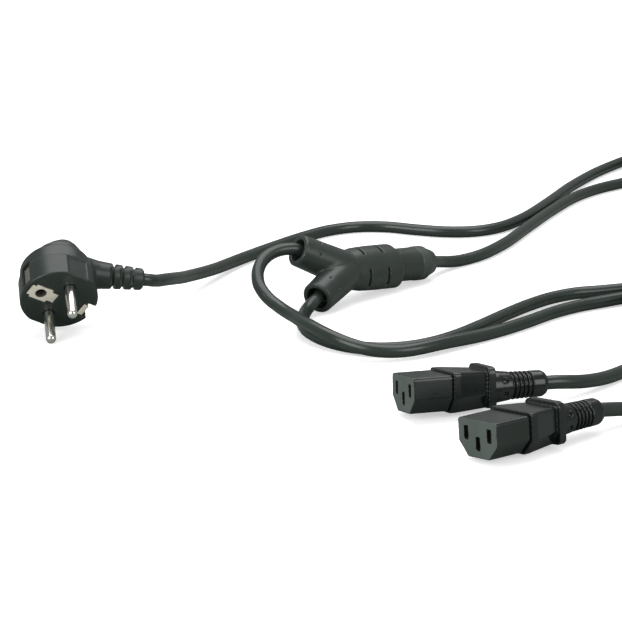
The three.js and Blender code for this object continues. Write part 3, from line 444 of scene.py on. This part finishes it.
# Turns of a coil seen from above, clockwise: in along the lower layer and out along the upper.
def coil_turns(centre, middle, enter, leave, turns):
    outer, inner = middle + CORD_RADIUS, middle - CORD_RADIUS
    sweep = ((enter - leave) % 360) + 360 * turns
    steps = math.ceil(sweep / TURN_STEP)
    points = []
    for i in range(steps + 1):
        part = i / steps
        angle = math.radians(enter - sweep * part)
        inward = min(1, max(0, (0.5 - abs(part - 0.5)) * 2))
        radius = outer + (inner - outer) * inward
        rise = min(1, max(0, (sweep * part - 360) / (sweep - 720)))
        rise = rise * rise * (3 - 2 * rise)
        points.append((centre[0] + radius * math.cos(angle), centre[1] + radius * math.sin(angle),
                       LOWER_TURNS + (UPPER_TURNS - LOWER_TURNS) * rise))
    return points


def smooth_path(points, per_span=6):
    points = [Vector(point) for point in points]
    points = [2 * points[0] - points[1]] + points + [2 * points[-1] - points[-2]]
    path = []
    for i in range(1, len(points) - 2):
        before, start, end, after = points[i - 1:i + 3]
        knots = [0.0]
        for a, b in ((before, start), (start, end), (end, after)):
            knots.append(knots[-1] + max((b - a).length, 1e-6) ** 0.5)
        k0, k1, k2, k3 = knots
        for j in range(per_span):
            t = k1 + (k2 - k1) * j / per_span
            a1 = before * ((k1 - t) / (k1 - k0)) + start * ((t - k0) / (k1 - k0))
            a2 = start * ((k2 - t) / (k2 - k1)) + end * ((t - k1) / (k2 - k1))
            a3 = end * ((k3 - t) / (k3 - k2)) + after * ((t - k2) / (k3 - k2))
            b1 = a1 * ((k2 - t) / (k2 - k0)) + a2 * ((t - k0) / (k2 - k0))
            b2 = a2 * ((k3 - t) / (k3 - k1)) + a3 * ((t - k1) / (k3 - k1))
            path.append(b1 * ((k2 - t) / (k2 - k1)) + b2 * ((t - k1) / (k2 - k1)))
    path.append(points[-2])
    return path


def tube_mesh(path):
    bm = bmesh.new()
    uv = bm.loops.layers.uv.new("uv")
    tangent = (path[1] - path[0]).normalized()
    side = tangent.orthogonal().normalized()
    around = [2 * math.pi * k / CORD_SIDES for k in range(CORD_SIDES)]
    rings, lengths, length = [], [], 0.0
    for i, point in enumerate(path):
        ahead = path[min(i + 1, len(path) - 1)] - path[max(i - 1, 0)]
        turn = tangent.rotation_difference(ahead.normalized())
        tangent = ahead.normalized()
        side = (turn @ side).normalized()
        other = tangent.cross(side)
        if i:
            length += (point - path[i - 1]).length
        lengths.append(length)
        rings.append([bm.verts.new((point + CORD_RADIUS * (math.cos(a) * side + math.sin(a) * other)) * MM)
                      for a in around])
    for i in range(len(rings) - 1):
        for k in range(CORD_SIDES):
            after = (k + 1) % CORD_SIDES
            face = bm.faces.new((rings[i][k], rings[i][after], rings[i + 1][after], rings[i + 1][k]))
            corners = ((k, i), (k + 1, i), (k + 1, i + 1), (k, i + 1))
            for loop, (across, along) in zip(face.loops, corners):
                loop[uv].uv = (across / CORD_SIDES, lengths[along] * MM)
    bm.faces.new(list(reversed(rings[0])))
    bm.faces.new(rings[-1])
    return bm, length * MM


# The band of a coil, where its turns cross one direction from the coil's centre.
def tie_band(node, path, centre, angle):
    centre = Vector((*centre, 0))
    out = Vector((math.cos(math.radians(angle)), math.sin(math.radians(angle)), 0))
    along = Vector((-out.y, out.x, 0))
    passes = []
    for before, after in zip(path, path[1:]):
        u, v = (before - centre).dot(along), (after - centre).dot(along)
        if u * v <= 0 and TURNS_FROM < (before - centre).dot(out) < TURNS_TO:
            passes.append(Vector(((before - centre).dot(out), before.z)))
    bm = bmesh.new()
    rings = []
    for thickness, width in TIE_SECTION:
        ring = []
        for k in range(TIE_STEPS):
            turn = 2 * math.pi * k / TIE_STEPS
            way = Vector((math.cos(turn), math.sin(turn)))
            spot = max(passes, key=way.dot) + way * (CORD_RADIUS + thickness)
            ring.append(bm.verts.new((centre + out * spot.x + along * width + Vector((0, 0, spot.y))) * MM))
        rings.append(ring)
    for ring, following in zip(rings, rings[1:] + rings[:1]):
        for k in range(TIE_STEPS):
            after = (k + 1) % TIE_STEPS
            bm.faces.new((ring[k], ring[after], following[after], following[k]))
    band = add_piece(node + "_band", bm, tie_rubber, angle=50)
    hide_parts(node)
    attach(band, "root")
    return band


def in_world(place, points):
    return [place @ Vector(point) for point in points]


plug_bore = in_world(PLUG, [by_plug_cord(along) for along in (7, 20, 34, 45)])
trunk_bore = in_world(SPLITTER, [(along, 0, 0) for along in (28, 40, 52, 60)])
arm_bore = {name: in_world(SPLITTER, [by_arm(side, along) for along in (12, 20, 28, 32)])
            for name, side in ARM_SIDES.items()}
connector_bore = {name: in_world(place, [(0, along, BORE_HEIGHT) for along in (33.6, 45, 58, 68)])
                  for name, place in CONNECTORS.items()}

# A coil is its centre, the radius at the middle of its turns, the directions in which the cord
# comes in and leaves, and its whole turns.
CORDS = {
    "trunk_cord": dict(
        start=plug_bore, out=TRUNK_PLUG_ROUTE, coil=((245.6, 407.7), 32.5, 158, -53, 2),
        back=TRUNK_SPLITTER_ROUTE[:-1], end=trunk_bore, exit=2, tie="trunk_cord_tie", tie_angle=20,
        nodes=("trunk_cord_plug_run", "trunk_cord_splitter_run", "trunk_cord_coil")),
    "branch_a_cord": dict(
        start=arm_bore["a"], out=BRANCH_A_SPLITTER_ROUTE, coil=((207.5, 73.7), 36.5, 128, -50, 2),
        back=BRANCH_A_CONNECTOR_ROUTE[:-1], end=connector_bore["a"], exit=3, tie="branch_a_tie",
        tie_angle=200, nodes=("branch_a_splitter_run", "branch_a_connector_run", "branch_a_coil")),
    "branch_b_cord": dict(
        start=arm_bore["b"], out=BRANCH_B_SPLITTER_ROUTE, coil=((292.5, 56.7), 31, 84, -53, 2),
        back=BRANCH_B_CONNECTOR_ROUTE[:-1], end=connector_bore["b"], exit=3, tie="branch_b_tie",
        tie_angle=10, nodes=("branch_b_splitter_run", "branch_b_connector_run", "branch_b_coil")),
}
for name, cord in CORDS.items():
    turns = coil_turns(*cord["coil"])
    route = [*cord["start"], *cord["out"], *turns, *reversed(cord["back"]), *reversed(cord["end"])]
    path = smooth_path(route)
    bm, length = tube_mesh(path)
    piece = add_piece(name, bm, cord_sheath, angle=60)
    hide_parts(*cord["nodes"])
    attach(piece, "root")
    band = tie_band(cord["tie"], path, cord["coil"][0], cord["tie_angle"])


# Studio: a pale floor, white to the camera and grey to the object's reflections, with large soft
# lights and the camera at the photograph's height and angle, 16 degrees above the table.
floor_mesh = bpy.data.meshes.new("floor")
floor_mesh.from_pydata([(-6, -4, 0), (6, -4, 0), (6, 9, 0), (-6, 9, 0)], [], [(0, 1, 2, 3)])
floor = bpy.data.objects.new("floor", floor_mesh)
scene.collection.objects.link(floor)
floor_paint = bpy.data.materials.new("floor_paint")
floor_paint.use_nodes = True
floor_nodes, floor_join = floor_paint.node_tree.nodes, floor_paint.node_tree.links.new
floor_shader = with_values(floor_nodes["Principled BSDF"], {
    "Roughness": 0.9, "Specular IOR Level": 0.1, "Emission Color": (1, 1, 1, 1)})
rays = floor_nodes.new("ShaderNodeLightPath")
tone = with_values(
    floor_nodes.new("ShaderNodeMixRGB"), {1: (0.30, 0.33, 0.31, 1), 2: (0.93, 0.93, 0.93, 1)})
floor_place = floor_nodes.new("ShaderNodeTexCoord")
distance = floor_nodes.new("ShaderNodeVectorMath")
distance.operation = "LENGTH"
far_glow = with_values(floor_nodes.new("ShaderNodeMapRange"), {
    "From Min": 0.5, "From Max": 1.6, "To Min": 0.5, "To Max": 1.0})
glow = floor_nodes.new("ShaderNodeMath")
glow.operation = "MULTIPLY"
floor_join(rays.outputs["Is Camera Ray"], tone.inputs[0])
floor_join(floor_place.outputs["Object"], distance.inputs[0])
floor_join(distance.outputs["Value"], far_glow.inputs["Value"])
floor_join(rays.outputs["Is Camera Ray"], glow.inputs[0])
floor_join(far_glow.outputs["Result"], glow.inputs[1])
floor_join(tone.outputs[0], floor_shader.inputs["Base Color"])
floor_join(glow.outputs[0], floor_shader.inputs["Emission Strength"])
floor.data.materials.append(floor_paint)

for name, energy, size, location in (
        ("overhead", 17, 1.5, (0, 0.45, 1.3)),
        ("front_left", 13, 1.0, (-0.95, -0.95, 0.6)),
        ("front_right", 6, 0.8, (1.05, -0.8, 0.55))):
    light_data = bpy.data.lights.new(name, "AREA")
    light_data.energy = energy
    light_data.size = size
    light = bpy.data.objects.new(name, light_data)
    light.location = location
    light.rotation_euler = (Vector((0, 0.05, 0)) - Vector(location)).to_track_quat("-Z", "Y").to_euler()
    scene.collection.objects.link(light)

world = bpy.data.worlds.new("world")
world.use_nodes = True
world_nodes, world_join = world.node_tree.nodes, world.node_tree.links.new
background = with_values(world_nodes["Background"], {"Color": (1, 1, 1, 1)})
sky_rays = world_nodes.new("ShaderNodeLightPath")
sky = with_values(world_nodes.new("ShaderNodeMapRange"), {"To Min": 0.3, "To Max": 1.0})
world_join(sky_rays.outputs["Is Camera Ray"], sky.inputs["Value"])
world_join(sky.outputs["Result"], background.inputs["Strength"])
scene.world = world

camera_data = bpy.data.cameras.new("camera")
camera_data.lens = 143.5
camera_data.sensor_width = 36
camera = bpy.data.objects.new("camera", camera_data)
camera.location = (0.0081, -1.0873, 0.33564)
camera.rotation_euler = (math.radians(74), 0, 0)
scene.collection.objects.link(camera)
scene.camera = camera
scene.view_settings.view_transform = "Standard"
